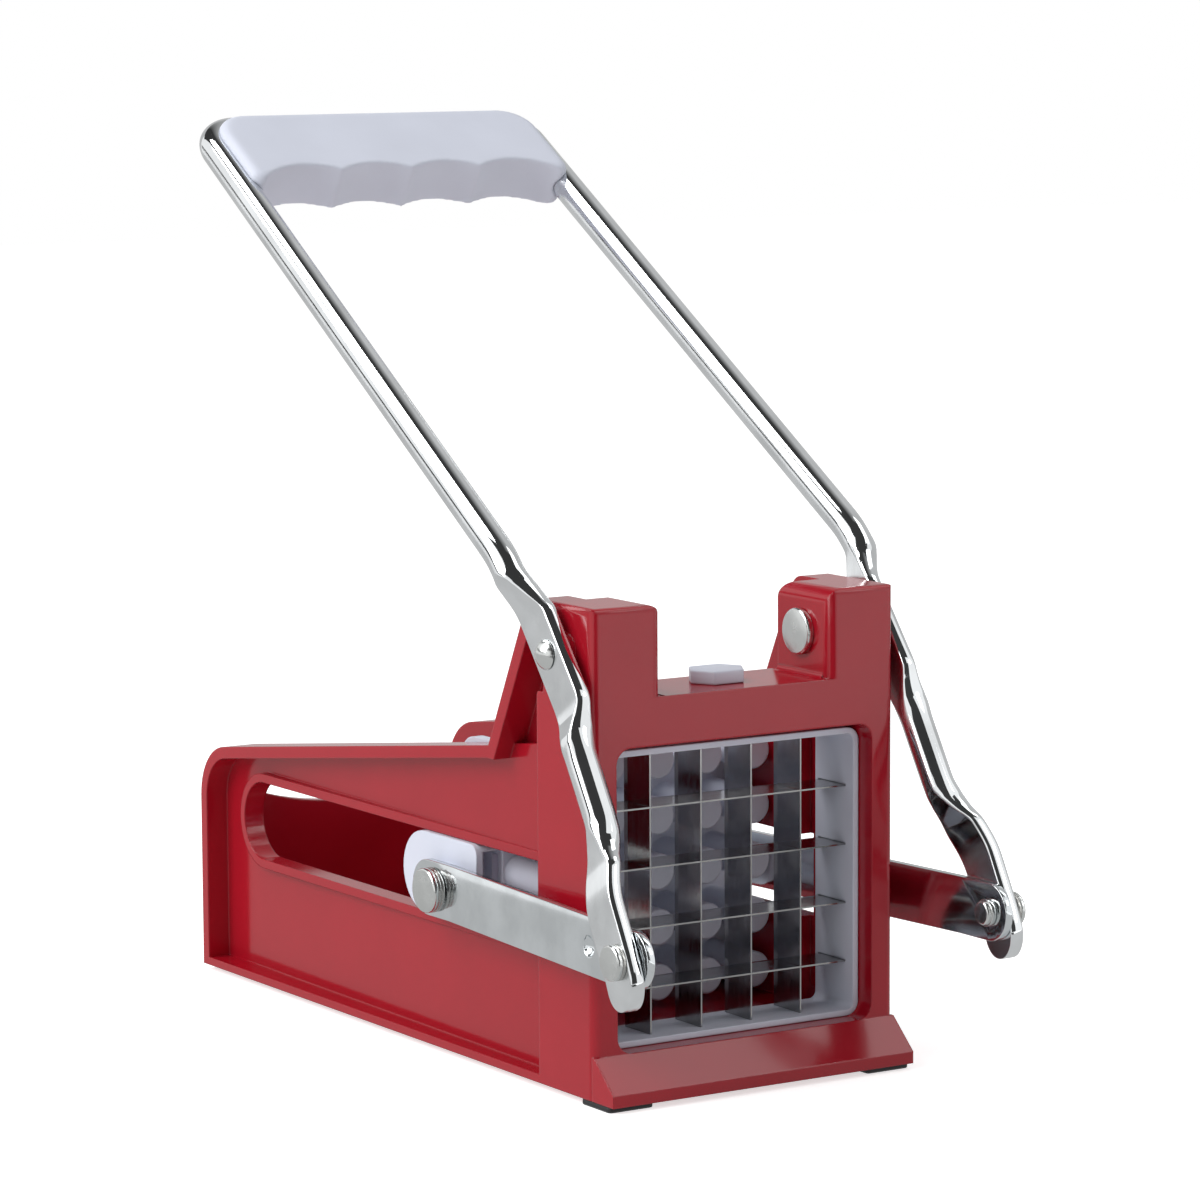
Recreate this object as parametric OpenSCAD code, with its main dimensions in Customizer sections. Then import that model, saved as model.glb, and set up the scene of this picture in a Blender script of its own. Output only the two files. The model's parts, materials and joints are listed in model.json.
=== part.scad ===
// Lever-operated french fry cutter.
// A U-shaped lever turns on two ears and, through two flat links, draws a pegged pusher
// along a channel and through a grid of thin blades. Units are millimetres, +Z is up,
// the potatoes move towards -Y, and the origin is the centre of the footprint.

/* [Body moulding] */
// Width across the tower's side faces
body_width = 76; // [74:1:84]
// Distance from the tower's front face to the rear face
body_length = 171.5; // [168:0.5:190]
// Front-to-back depth of the tower
tower_depth = 21.5; // [21:0.5:24]
// Height of the saddle between the ears
saddle_height = 83.2; // [82:0.1:86]
// Height of the two ears above the saddle
ear_rise = 19.1; // [17.5:0.1:22]
// Width of the saddle
saddle_width = 42; // [38:1:44]
// Front-to-back depth of an ear
ear_depth = 18.9; // [18.5:0.1:20]
// Distance between the inner faces of the channel's side walls
channel_width = 59; // [58.8:0.1:60]
// Height of the channel's floor above the underside
floor_height = 9.2; // [8.5:0.1:10]
// Thickness of the floor and of the rear wall
wall_thickness = 2.8; // [2.2:0.1:3.2]
// Thickness of the flanges round the side panels
flange_thickness = 2.7; // [2.2:0.1:3.2]
// How deep the side panels lie behind the side faces, at the rear
panel_recess = 5.5; // [4.5:0.1:5.8]
// Height of the side walls where they meet the gussets
rim_height = 69; // [66:0.5:71]
// Drop of the side walls' rims per millimetre towards the rear
rim_slope = 0.135; // [0.1:0.005:0.16]
// Radius of the side walls' rear top corners
rim_corner = 13; // [9:0.5:15]
// How far the lip stands in front of the tower
lip_reach = 7.2; // [5:0.1:9]

/* [Side slots] */
// Height of a slot
slot_height = 18.1; // [17:0.1:19]
// Height of the slots' centre line above the underside
slot_centre = 37; // [36:0.1:38]
// Distance from the tower's front face to the slots' rear end
slot_rear = 156.7; // [155:0.1:162]
// Width of the collar round a slot
collar_width = 2; // [1.5:0.1:2.4]

/* [Blade grid] */
// Centre distance of neighbouring blades
blade_pitch = 12.7; // [12.6:0.05:12.8]
// Thickness of a blade
blade_thickness = 0.35; // [0.3:0.05:0.6]
// Front-to-back depth of a blade
blade_depth = 10; // [8:0.5:11]
// Front-to-back depth of the grid's frame
frame_depth = 14; // [13:0.5:14.5]
// Wall thickness of the grid's frame
frame_wall = 1.3; // [1.2:0.05:1.5]

/* [Pusher] */
// Diameter of a peg
peg_diameter = 8; // [7.4:0.1:8.4]
// Length of a peg
peg_length = 17.1; // [14:0.1:17.6]
// Thickness of the plate that carries the pegs
plate_thickness = 2.3; // [2:0.1:2.8]
// Distance between the side faces of the two lugs
lug_span = 71; // [70:0.5:71.5]

/* [Lever] */
// Diameter of the rod
rod_diameter = 6.5; // [6:0.1:6.8]
// Distance from the pivot to the elbow
elbow_distance = 19.3; // [18.4:0.1:20.4]
// Angle of the elbow in degrees
elbow_angle = 25.4; // [24:0.2:27]
// Distance from the elbow to the cross bar inside the grip
upper_arm = 162; // [150:0.5:175]
// Angle of the lower arm from straight down, towards the front
lever_lean = 32.3; // [31:0.1:33.5]
// Thickness that the dies leave where the rod is pressed flat
flat_thickness = 3.3; // [3:0.1:3.6]
// How far the lever's ends reach past the links' front pins
tip_reach = 9.5; // [7:0.5:11]

/* [Links] */
// Width of a link
link_width = 12.2; // [11.4:0.1:12.6]
// Thickness of a link
link_thickness = 1.8; // [1.5:0.1:1.9]

/* [Grip] */
// Length of the grip along the rods
grip_depth = 26; // [24:0.5:30]
// Thickness of the grip
grip_thickness = 11.2; // [10.4:0.1:13]
// Depth of the finger scallops
scallop_depth = 2.4; // [1.8:0.1:3]

/* [Rivets and feet] */
// Diameter of the rivets' shanks
shank_diameter = 4; // [3.4:0.1:4.4]
// Thickness of a washer
washer_thickness = 0.75; // [0.6:0.05:0.8]
// Thickness of the rubber feet
foot_height = 1.3; // [1:0.1:3]

/* [Hidden] */
$fn = 64;
bite = 0.6;                 // overlap of features that are fused with one another
running_gap = 0.06;         // radial clearance of the turning joints
side_gap = 0.15;            // clearance between faces that slide on one another
seat_gap = 0.05;            // clearance of pieces that sit in a pocket

half_body = body_width / 2;
half_channel = channel_width / 2;
front_edge_radius = 2;
ear_edge = 1.5;             // rounding of the ears' top edges
ear_corner = 2.2;           // rounding of the ears' inner front edges
pivot_y = 10.4;
pivot_rise = 9.2;           // height of the pivot above the saddle
pivot_z = saddle_height + pivot_rise;
ear_height = saddle_height + ear_rise;

// window in the tower and the grid frame that stands in it
window_corner = 3.5;
grid_cells = 5;
frame_clearance = 0.2;
frame_inside = grid_cells * blade_pitch - 2.1;
frame_outside = frame_inside + 2 * frame_wall;
half_window = frame_outside / 2 + frame_clearance;
frame_bottom = floor_height + 0.1;
frame_height = frame_inside - 1.6 + 2 * frame_wall;
frame_top = frame_bottom + frame_height;
window_top = frame_top + 1.3;
grid_centre = frame_bottom + frame_height / 2 - 0.88;
frame_front = 4.7;
frame_back = frame_front + frame_depth;
blade_front = frame_front + 2.9;
blade_back = blade_front + blade_depth;

// pusher, as it stands in the photographed position
pusher_clearance = 0.4;
plate_front = 50;
plate_back = plate_front + plate_thickness;
half_plate = half_channel - pusher_clearance;
plate_bottom = floor_height + pusher_clearance;
plate_top = grid_centre + 2 * blade_pitch + 2.5;
arm_thickness = 2.4;
lug_front = plate_front + 0.5;
lug_length = 31;
lug_back = lug_front + lug_length;
lug_wall = 1.6;
lug_pocket = 7.5;           // depth of the hollow that opens to the front
lug_height = slot_height - 2 * side_gap;
lug_corner = 2.5;
arm_low = 16;               // how far the arm reaches behind the plate at its foot
arm_high = 12;              // the same at its top
arm_corner = 6;
arm_half = 12;              // half the arm's height behind the lug
rib_depth = 12;
rib_thickness = 2.2;
rib_low = 14;               // the ribs' places under and over the slots' centre line
rib_high = 12;
gap_depth = 2.4;            // slot through the arms, right behind the plate
gap_height = 12;
boss_radius = 5.4;

// links and their pins
pin_drop = 1.9;             // the pins lie this far under the slots' centre line
pin_z = slot_centre - pin_drop;
lower_arm = (pivot_z - pin_z) / cos(lever_lean);
pin_front_y = pivot_y - lower_arm * sin(lever_lean);
pin_rear_y = 61.6;
link_rear_inside = 37.7;
link_rear_outside = link_rear_inside + link_thickness;
link_front_inside = 43.7;
link_front_outside = link_front_inside + link_thickness;
link_tail = 3.1;            // the rear end's round lies this far behind the pin
bend_rear_y = pin_rear_y - link_width / 2;
bend_front_y = pin_front_y + 0.82 * link_width;

// lever
rod_radius = rod_diameter / 2;
elbow_radius = 40;
corner_radius = 8;
half_top = 41.9;            // half the rods' centre distance at the cross bar
half_elbow = 44.3;          // the same at the elbow
pivot_plane = half_body + 1.3 + flat_thickness / 2;
pin_plane = link_front_outside + side_gap + flat_thickness / 2;
toe = atan((half_elbow - half_top) / upper_arm);
boss_height = 1.1;

// rivets
head_rear = 9.8;
head_front = 7.4;
head_pivot = 10;
dome_diameter = 6.6;
shank = shank_diameter / 2;
pivot_shank = shank + 0.2;

// feet
foot_side = 11;
foot_front_y = -5.7;
foot_corner = 1;
rear_foot_x = half_body - panel_recess - foot_side - 0.5;
rear_foot_y = body_length - wall_thickness - foot_side;

centre_y = (body_length + pin_front_y - link_width / 2) / 2;

// ---- helpers -------------------------------------------------------------------------

// moves the tower's frame, with its zero at the tower's front face, to the part's origin
module placed() {
    translate([0, -centre_y, foot_height]) children();
}

// draws the right-hand piece, or its mirror image for the left
module side(right) {
    mirror([right ? 0 : 1, 0, 0]) children();
}

// extrudes a profile drawn in the Y-Z plane from x0 to x1
module along_x(x0, x1) {
    translate([x0, 0, 0]) rotate([90, 0, 90]) linear_extrude(x1 - x0) children();
}

// a pin along X from x0 to x1
module pin(x0, x1, radius) {
    translate([x0, 0, 0]) rotate([0, 90, 0]) cylinder(h = x1 - x0, r = radius);
}

module at_pivot() { translate([0, pivot_y, pivot_z]) children(); }
module at_front_pin() { translate([0, pin_front_y, pin_z]) children(); }
module at_rear_pin() { translate([0, pin_rear_y, pin_z]) children(); }

// polygon with true arcs at its corners: each point is [x, y, radius], listed
// counter-clockwise, and the arc turns outwards or inwards as the corner does
function unit(v) = v / norm(v);
function flat2(p) = [p[0], p[1]];
function corner(points, i) =
    let (n = len(points),
         q = flat2(points[i]),
         u = unit(flat2(points[(i + n - 1) % n]) - q),
         v = unit(flat2(points[(i + 1) % n]) - q),
         half = acos(u * v) / 2,
         r = points[i][2],
         turn = -u[0] * v[1] + u[1] * v[0])
    [q + u * r / tan(half), q + v * r / tan(half), q + unit(u + v) * r / sin(half), r, turn];

module rounded(points) {
    corners = [for (i = [0 : len(points) - 1]) corner(points, i)];
    difference() {
        union() {
            polygon([for (c = corners) each (c[3] > 0 ? [c[0], c[1]] : [c[0]])]);
            for (c = corners) if (c[3] > 0 && c[4] > 0) translate(c[2]) circle(c[3]);
        }
        for (c = corners) if (c[3] > 0 && c[4] < 0) translate(c[2]) circle(c[3]);
    }
}

// ---- body ----------------------------------------------------------------------------

wall_start = 42;            // where the side walls' rims meet the gussets
function rim(y) = rim_height - rim_slope * (y - wall_start);

// side wall seen from the side, drawn in by the given margins
module wall_outline(edge = 0, bottom = 0, front = 0) {
    back = body_length - edge;
    drop = edge * norm([1, rim_slope]);
    rounded([
        [tower_depth - bite + front, bottom, 0],
        [back, bottom, 0],
        [back, rim(back) - drop, rim_corner - edge],
        [tower_depth - bite + front, rim(tower_depth - bite + front) - drop, 0]
    ]);
}

// gusset between ear and side wall, drawn in by a margin along its sloping edge
gusset_rise = 2.02;
function gusset_y(z) = 41.2 + (rim_height - z) / gusset_rise;

module gusset_outline(edge = 0) {
    shift = edge * norm([1, gusset_rise]) / gusset_rise;
    low = rim_height - flange_thickness;
    rounded([
        [pivot_y, low, 0],
        [gusset_y(low) - shift, low, 0],
        [gusset_y(ear_height - edge) - shift, ear_height - edge, 4],
        [pivot_y, ear_height - edge, 0]
    ]);
}

module slot_outline(margin = 0) {
    radius = slot_height / 2 + margin;
    translate([slot_rear - slot_height / 2, slot_centre]) circle(radius);
    translate([tower_depth, slot_centre - radius])
        square([slot_rear - slot_height / 2 - tower_depth, 2 * radius]);
}

module side_wall() {
    panel_front = half_body - panel_recess + 1.5;
    panel_rear = half_body - panel_recess;
    collar_face = panel_rear + 2;
    difference() {
        union() {
            // panel, a little shallower towards the tower
            intersection() {
                along_x(half_channel, half_body) wall_outline();
                linear_extrude(ear_height)
                    polygon([
                        [half_channel, tower_depth - bite], [panel_front, tower_depth - bite],
                        [panel_rear, body_length], [half_channel, body_length]
                    ]);
            }
            // flange along rim, rear edge and underside
            along_x(half_channel, half_body)
                difference() {
                    wall_outline();
                    wall_outline(flange_thickness, 1.8, bite);
                    translate([tower_depth - 2 * bite, rim_height - 3 * flange_thickness])
                        square([gusset_y(rim_height) - tower_depth, 20]);
                }
            along_x(half_channel, collar_face) slot_outline(collar_width);
            gusset();
        }
        along_x(half_channel - 1, half_body) slot_outline();
    }
}

// the tower with both ears seen from the front, without the saddle
module ear_outline() {
    rounded([
        [-half_body, 0, 0], [half_body, 0, 0],
        [half_body, ear_height, ear_edge], [-half_body, ear_height, ear_edge]
    ]);
}

module gusset() {
    along_x(half_channel, half_channel + 1.6) gusset_outline();
    intersection() {
        along_x(half_channel, half_body)
            difference() {
                gusset_outline();
                gusset_outline(3.2);
            }
        front_view(0, body_length) ear_outline();
    }
}

module tower() {
    difference() {
        intersection() {
            linear_extrude(ear_height)
                rounded([
                    [half_body, tower_depth, 0], [-half_body, tower_depth, 0],
                    [-half_body, 0, front_edge_radius], [half_body, 0, front_edge_radius]
                ]);
            along_x(-half_body, half_body)
                rounded([
                    [0, 0, 0], [tower_depth, 0, 0], [tower_depth, saddle_height, 0.9],
                    [ear_depth, saddle_height, 0.6], [ear_depth, ear_height, 3.5],
                    [0, ear_height, ear_edge]
                ]);
            front_view(0, tower_depth) ear_outline();
        }
        // saddle
        translate([0, -1, 0]) rotate([-90, 0, 0]) mirror([0, 1, 0])
            linear_extrude(tower_depth + 2)
                rounded([
                    [-saddle_width / 2, saddle_height, 1.2], [saddle_width / 2, saddle_height, 1.2],
                    [saddle_width / 2, ear_height + 1, 0], [-saddle_width / 2, ear_height + 1, 0]
                ]);
        // rounded inner edges at the front of the ears
        for (right = [false, true]) side(right)
            translate([saddle_width / 2 - bite, -bite, saddle_height])
                linear_extrude(ear_rise + 1) difference() {
                    square(ear_corner + bite);
                    translate([ear_corner + bite, ear_corner + bite]) circle(ear_corner);
                }
        // cored underside of the sill
        translate([-half_window + 4, wall_thickness, -1])
            cube([2 * half_window - 8, tower_depth - 2 * wall_thickness, floor_height - wall_thickness + 1]);
    }
    // flared lip that the cut sticks fall over
    along_x(-half_body, half_body)
        polygon([[1, floor_height], [0, floor_height], [-lip_reach, 2.6], [-lip_reach, 0], [1, 0]]);
    // bosses that space the lever from the ears
    for (right = [false, true])
        side(right) at_pivot() pin(half_body - bite, half_body + boss_height, 4.4);
}

module body() {
    color([0.56, 0.03, 0.06]) placed() difference() {
        union() {
            tower();
            for (right = [false, true]) side(right) side_wall();
            // floor
            translate([-half_channel - bite, tower_depth - bite, floor_height - wall_thickness])
                cube([channel_width + 2 * bite, body_length - tower_depth, wall_thickness]);
            rear_wall();
            // blocks that carry the rear feet
            for (right = [false, true]) side(right)
                translate([rear_foot_x, rear_foot_y, 0])
                    cube([foot_side, foot_side, floor_height - bite]);
        }
        window();
        stem_hole(window_top - 1, saddle_height + 1);
        for (right = [false, true]) side(right)
            at_pivot() pin(saddle_width / 2 - 1, half_body + 3, pivot_shank + running_gap);
    }
}

module rear_wall() {
    dip_radius = 74;
    dip_height = 36;
    difference() {
        translate([-half_channel - bite, body_length - wall_thickness, 0])
            cube([channel_width + 2 * bite, wall_thickness, dip_height + 8]);
        translate([0, body_length + 1, dip_height + dip_radius]) rotate([90, 0, 0])
            cylinder(h = wall_thickness + 2, r = dip_radius, $fn = 180);
    }
}

module window() {
    translate([0, -lip_reach, 0]) rotate([-90, 0, 0]) mirror([0, 1, 0])
        linear_extrude(tower_depth + lip_reach + 1)
            rounded([
                [-half_window, floor_height, window_corner], [half_window, floor_height, window_corner],
                [half_window, window_top, window_corner], [-half_window, window_top, window_corner]
            ]);
}

// key that holds the grid down: a six-sided head on the saddle and a stem through the bar
lock_length = 13;
lock_depth = 9.8;
lock_edge = 7.4;            // length of the head's front and rear edges
lock_head = 2.9;
lock_shift = -0.5;          // the head reaches a little further to the front than the stem
stem_length = 8;
stem_depth = 5;

module stem_hole(z0, z1) {
    translate([0, frame_front + frame_depth / 2, z0]) linear_extrude(z1 - z0)
        square([stem_length + 2 * side_gap, stem_depth + 2 * side_gap], center = true);
}

module grid_lock() {
    color([0.8, 0.81, 0.86]) placed() translate([0, frame_front + frame_depth / 2, 0]) {
        translate([0, lock_shift, saddle_height + seat_gap]) linear_extrude(lock_head)
            polygon([
                [-lock_length / 2, 0], [-lock_edge / 2, -lock_depth / 2],
                [lock_edge / 2, -lock_depth / 2], [lock_length / 2, 0],
                [lock_edge / 2, lock_depth / 2], [-lock_edge / 2, lock_depth / 2]
            ]);
        translate([0, 0, frame_top - frame_wall])
            linear_extrude(saddle_height - frame_top + frame_wall + lock_head / 2)
                square([stem_length, stem_depth], center = true);
    }
}

module foot(right, rear) {
    low_x = rear ? rear_foot_x : half_body - foot_side;
    low_y = rear ? rear_foot_y : foot_front_y;
    color([0.05, 0.05, 0.055]) placed() side(right)
        translate([low_x, low_y, -foot_height]) linear_extrude(foot_height - seat_gap)
            rounded([
                [0, 0, foot_corner], [foot_side, 0, foot_corner],
                [foot_side, foot_side, foot_corner], [0, foot_side, foot_corner]
            ]);
}

// ---- blade grid ----------------------------------------------------------------------

blade_seat = 0.8;           // how deep the blades' ends sit in the frame's walls
half_inside = frame_inside / 2;
bottom_inside = frame_bottom + frame_wall;
top_inside = frame_top - frame_wall;
function blade_offset(i) = (i - 2.5) * blade_pitch;

module front_view(y0, y1) {
    translate([0, y0, 0]) rotate([-90, 0, 0]) mirror([0, 1, 0]) linear_extrude(y1 - y0) children();
}

module frame_shape(margin) {
    half = frame_outside / 2 - margin;
    radius = 3 - margin;
    rounded([
        [-half, frame_bottom + margin, radius], [half, frame_bottom + margin, radius],
        [half, frame_top - margin, radius], [-half, frame_top - margin, radius]
    ]);
}

// space that a blade takes, grown by the seat's clearance
module vertical_slot(i) {
    width = blade_thickness + 2 * seat_gap;
    reach = blade_seat + seat_gap;
    translate([blade_offset(i) - width / 2, blade_front - seat_gap, bottom_inside - reach])
        cube([width, blade_depth + 2 * seat_gap, top_inside - bottom_inside + 2 * reach]);
}

module horizontal_slot(i) {
    width = blade_thickness + 2 * seat_gap;
    reach = blade_seat + seat_gap;
    translate([-half_inside - reach, blade_front - seat_gap, grid_centre + blade_offset(i) - width / 2])
        cube([frame_inside + 2 * reach, blade_depth + 2 * seat_gap, width]);
}

module grid_frame() {
    color([0.78, 0.8, 0.86]) placed() difference() {
        front_view(frame_front, frame_back) frame_shape(0);
        front_view(frame_front - 1, frame_back + 1) frame_shape(frame_wall);
        for (i = [1 : 4]) {
            vertical_slot(i);
            horizontal_slot(i);
        }
        stem_hole(top_inside - 1, frame_top + 1);
    }
}

// blade profile: flat strip, ground to an edge on the side that the pusher comes from
module blade_profile() {
    half = blade_thickness / 2;
    ground = 1.6;
    polygon([
        [blade_front, -half], [blade_back - ground, -half], [blade_back, -0.04],
        [blade_back, 0.04], [blade_back - ground, half], [blade_front, half]
    ]);
}

notch = blade_thickness + 2 * seat_gap;

module vertical_blade(i) {
    color([0.5, 0.51, 0.52]) placed() difference() {
        translate([blade_offset(i), 0, bottom_inside - blade_seat])
            linear_extrude(top_inside - bottom_inside + 2 * blade_seat)
                rotate(90) mirror([0, 1]) blade_profile();
        // half-lap notches, open to the front
        for (k = [1 : 4])
            translate([blade_offset(i) - blade_pitch / 4, blade_front - 1,
                       grid_centre + blade_offset(k) - notch / 2])
                cube([blade_pitch / 2, blade_depth / 2 + seat_gap + 1, notch]);
    }
}

module horizontal_blade(i) {
    color([0.5, 0.51, 0.52]) placed() difference() {
        translate([0, 0, grid_centre + blade_offset(i)])
            along_x(-half_inside - blade_seat, half_inside + blade_seat) blade_profile();
        // half-lap notches, open to the rear
        for (k = [1 : 4])
            translate([blade_offset(k) - notch / 2, (blade_front + blade_back) / 2 - seat_gap,
                       grid_centre + blade_offset(i) - blade_pitch / 4])
                cube([notch, blade_depth, blade_pitch / 2]);
    }
}

// ---- pusher --------------------------------------------------------------------------

peg_centre_z = grid_centre - 0.5;
peg_pitch_across = blade_pitch - 0.3;   // the pegs draw together a little towards the middle
peg_pitch_up = blade_pitch - 0.6;
peg_chamfer = 0.3;

module peg() {
    rotate([90, 0, 0]) {
        cylinder(h = peg_length - peg_chamfer, d = peg_diameter, $fn = 48);
        translate([0, 0, peg_length - peg_chamfer])
            cylinder(h = peg_chamfer, d1 = peg_diameter, d2 = peg_diameter - 2 * peg_chamfer, $fn = 48);
    }
}

module lug_outline() {
    low = slot_centre - lug_height / 2;
    high = slot_centre + lug_height / 2;
    rounded([
        [lug_front, low, lug_corner], [lug_back, low, lug_height / 2 - 0.02],
        [lug_back, high, lug_height / 2 - 0.02], [lug_front, high, lug_corner]
    ]);
}

module pusher() {
    color([0.82, 0.83, 0.87]) placed() difference() {
        union() {
            translate([-half_plate, plate_front, plate_bottom])
                cube([2 * half_plate, plate_thickness, plate_top - plate_bottom]);
            for (column = [-2 : 2], row = [-2 : 2])
                translate([column * peg_pitch_across, plate_front + 0.4, peg_centre_z + row * peg_pitch_up]) peg();
            for (right = [false, true]) side(right) {
                // arm behind the plate, and the lug that runs in the slot
                along_x(half_plate - arm_thickness, half_plate)
                    rounded([
                        [plate_back - bite, plate_bottom, 0],
                        [plate_back + arm_low, plate_bottom, arm_corner],
                        [lug_back - lug_wall, slot_centre - arm_half, arm_corner],
                        [lug_back - lug_wall, slot_centre + arm_half, arm_corner],
                        [plate_back + arm_high, plate_top, arm_corner],
                        [plate_back - bite, plate_top, 0]
                    ]);
                along_x(half_plate - arm_thickness, lug_span / 2) lug_outline();
                // boss under the link
                at_rear_pin() pin(lug_span / 2 - bite, link_rear_inside - side_gap, boss_radius);
            }
            // stiffening ribs between the arms
            for (z = [slot_centre - rib_low, slot_centre + rib_high])
                translate([-half_plate + bite, plate_back - bite, z])
                    cube([2 * (half_plate - bite), rib_depth, rib_thickness]);
        }
        // the lugs are hollow towards the front, and a slot behind the plate goes through the arms
        for (right = [false, true]) side(right) {
            translate([half_plate, lug_front - 1, slot_centre - lug_height / 2 + lug_wall])
                cube([lug_span / 2 - half_plate - lug_wall, lug_pocket + 1, lug_height - 2 * lug_wall]);
            translate([half_plate - arm_thickness - 1, plate_back, slot_centre - gap_height / 2])
                cube([arm_thickness + 2, gap_depth, gap_height]);
            at_rear_pin() pin(half_plate - arm_thickness - 1, half_body, shank + running_gap);
        }
    }
}

// ---- links ---------------------------------------------------------------------------

module link(right) {
    front_end = pin_front_y - link_width / 2;
    rear_end = pin_rear_y + link_tail + link_width / 2;
    color([0.72, 0.74, 0.76]) placed() side(right) difference() {
        intersection() {
            along_x(link_rear_inside - 1, link_front_outside + 1) {
                translate([pin_front_y, pin_z]) circle(d = link_width);
                translate([pin_rear_y + link_tail, pin_z]) circle(d = link_width);
                translate([pin_front_y, pin_z - link_width / 2])
                    square([pin_rear_y + link_tail - pin_front_y, link_width]);
            }
            // strip seen from above, bent twice
            linear_extrude(ear_height)
                polygon([
                    [link_front_inside, front_end - 1], [link_front_outside, front_end - 1],
                    [link_front_outside, bend_front_y], [link_rear_outside, bend_rear_y],
                    [link_rear_outside, rear_end + 1], [link_rear_inside, rear_end + 1],
                    [link_rear_inside, bend_rear_y], [link_front_inside, bend_front_y]
                ]);
        }
        at_front_pin() pin(link_rear_inside, half_body + 15, shank + running_gap);
        at_rear_pin() pin(link_rear_inside - 1, half_body + 15, shank + running_gap);
        // press mark on the outside, behind the front pin
        translate([link_front_outside + 0.6, pin_front_y + 17, pin_z]) sphere(r = 2.6);
    }
}

// ---- lever ---------------------------------------------------------------------------

// Local frame: pivot on the X axis, lower arm straight down, elbow leaning to +Y.
module lever_frame() {
    placed() at_pivot() rotate([-lever_lean, 0, 0]) children();
}

// frame of the upper U: X across, Y up the rods from the elbow, Z towards the front
module upper_frame() {
    translate([0, 0, elbow_distance]) rotate([-elbow_angle, 0, 0]) rotate([90, 0, 0]) children();
}

// The path of one leg, by the distance u from the pivot up the arm, negative below it.
elbow_tangent = elbow_radius * tan(elbow_angle / 2);
elbow_start = elbow_distance - elbow_tangent;
elbow_arc = elbow_radius * elbow_angle * PI / 180;
leg_top = elbow_start + elbow_arc + 4;
leg_tip = -lower_arm - tip_reach;

// where the dies bite: the flats and the ramps on either side of them
pin_flat = -lower_arm + 12;
pin_ramp = -lower_arm + 29;
low_ramp = -20;
low_flat = -12;
high_flat = 9.4;
high_ramp = 18;

function path_angle(u) = elbow_angle * min(1, max(0, (u - elbow_start) / elbow_arc));

// sideways sway of the pressed zones, towards the front
function sway(u) = lookup(u, [
    [leg_tip, -2.6], [-lower_arm, -1.2], [pin_flat, 0], [low_ramp, 0],
    [low_flat, 1.1], [high_flat, -0.9], [24, 0]
]);
function path_point(u) =
    let (a = path_angle(u), rest = max(0, u - elbow_start - elbow_arc))
    [elbow_radius * (1 - cos(a)) + rest * sin(a) - sway(u),
     min(u, elbow_start) + elbow_radius * sin(a) + rest * cos(a)];

// distance of the leg's middle from the plane of symmetry: in at the pivot, out at the links
half_round = half_body + 4.3;
function ease(t) = t * t * (3 - 2 * t);
function leg_x(u) =
    u < low_ramp
        ? pin_plane + (half_round - pin_plane) * ease(min(1, max(0, (u + lower_arm - 11) / 20)))
        : u < high_ramp
            ? lookup(u, [[low_ramp, half_round], [low_flat, pivot_plane],
                         [high_flat, pivot_plane], [high_ramp, half_elbow]])
            : half_elbow - max(0, u - elbow_distance) * sin(toe);

// half the thickness between the dies; the section is a circle cut by them, and its radius
// grows so that the pressed rod keeps about its area
skin_radius = rod_radius - 0.05;
round_half = 0.985 * skin_radius;
function half_left(u) = lookup(u, [
    [pin_flat, flat_thickness / 2], [pin_ramp, round_half], [low_ramp, round_half],
    [low_flat, flat_thickness / 2], [high_flat, flat_thickness / 2], [high_ramp, round_half]
]);
function spread(t) = max(skin_radius, sqrt(pow(PI * pow(rod_radius, 2) / (4 * t), 2) + t * t / 3));
flat_reach = spread(flat_thickness / 2);

side_points = 10;
function section(u) =
    let (t = half_left(u),
         radius = spread(t),
         over = max(0, leg_tip + flat_reach - u),
         tip = sqrt(max(0.02, 1 - pow(over / flat_reach, 2))),
         bite_angle = asin(t / radius),
         a = path_angle(u),
         c = path_point(u))
    [for (s = [1, -1], k = [0 : side_points - 1])
        let (w = s * bite_angle * (1 - 2 * k / (side_points - 1)),
             n = s * tip * radius * cos(w))
        [leg_x(u) + radius * sin(w), c[0] - n * cos(a), c[1] + n * sin(a)]];

leg_steps = [
    for (i = [0 : 6]) leg_tip + 0.02 + flat_reach * (1 - cos(15 * i)) * 0.999,
    -lower_arm + 1,
    for (i = [0 : 8]) pin_flat + i * (pin_ramp - pin_flat) / 8,
    pin_ramp + 5, -26,
    for (i = [0 : 4]) low_ramp + i * (low_flat - low_ramp) / 4,
    -5, 2,
    for (i = [0 : 5]) high_flat + i * (high_ramp - high_flat) / 5,
    for (u = [high_ramp + 2 : 2.5 : leg_top]) u
];

// skin of one leg from its tip to just inside the straight rod
module leg() {
    rings = [for (u = leg_steps) section(u)];
    n = 2 * side_points;
    last = len(rings) - 1;
    polyhedron(
        points = [for (ring = rings) each ring],
        faces = concat(
            [[for (k = [n - 1 : -1 : 0]) k]],
            [for (r = [0 : last - 1], k = [0 : n - 1])
                [r * n + k, r * n + (k + 1) % n, (r + 1) * n + (k + 1) % n, (r + 1) * n + k]],
            [[for (k = [0 : n - 1]) last * n + k]]
        ),
        convexity = 6
    );
}

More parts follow.
